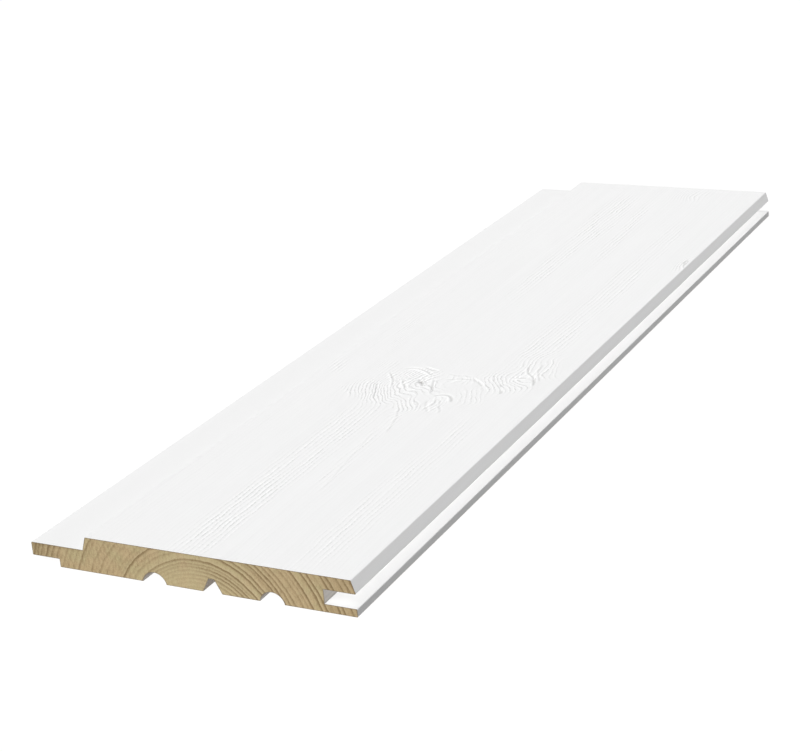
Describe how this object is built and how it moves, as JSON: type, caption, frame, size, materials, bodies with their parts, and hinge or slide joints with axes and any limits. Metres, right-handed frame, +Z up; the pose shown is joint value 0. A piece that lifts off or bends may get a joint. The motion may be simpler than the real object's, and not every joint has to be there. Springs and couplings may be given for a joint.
{
  "type": "panelling board",
  "caption": "White-painted softwood panelling board with tongue, groove, sloped shadow-gap edges and relief grooves in its back, lying face up.",
  "frame": {"origin": "middle of the back, in the plane that the board lies on", "axes": "+X across the board, towards the groove; +Y along its length; +Z up, out of the painted face"},
  "size_m": [0.147, 0.538, 0.015],
  "materials": {
    "painted_softwood": "white satin paint over brushed softwood on the face, tongue and edges; bare end grain"
  },
  "bodies": {
    "root": {"board": "painted_softwood"}
  },
  "joints": []
}
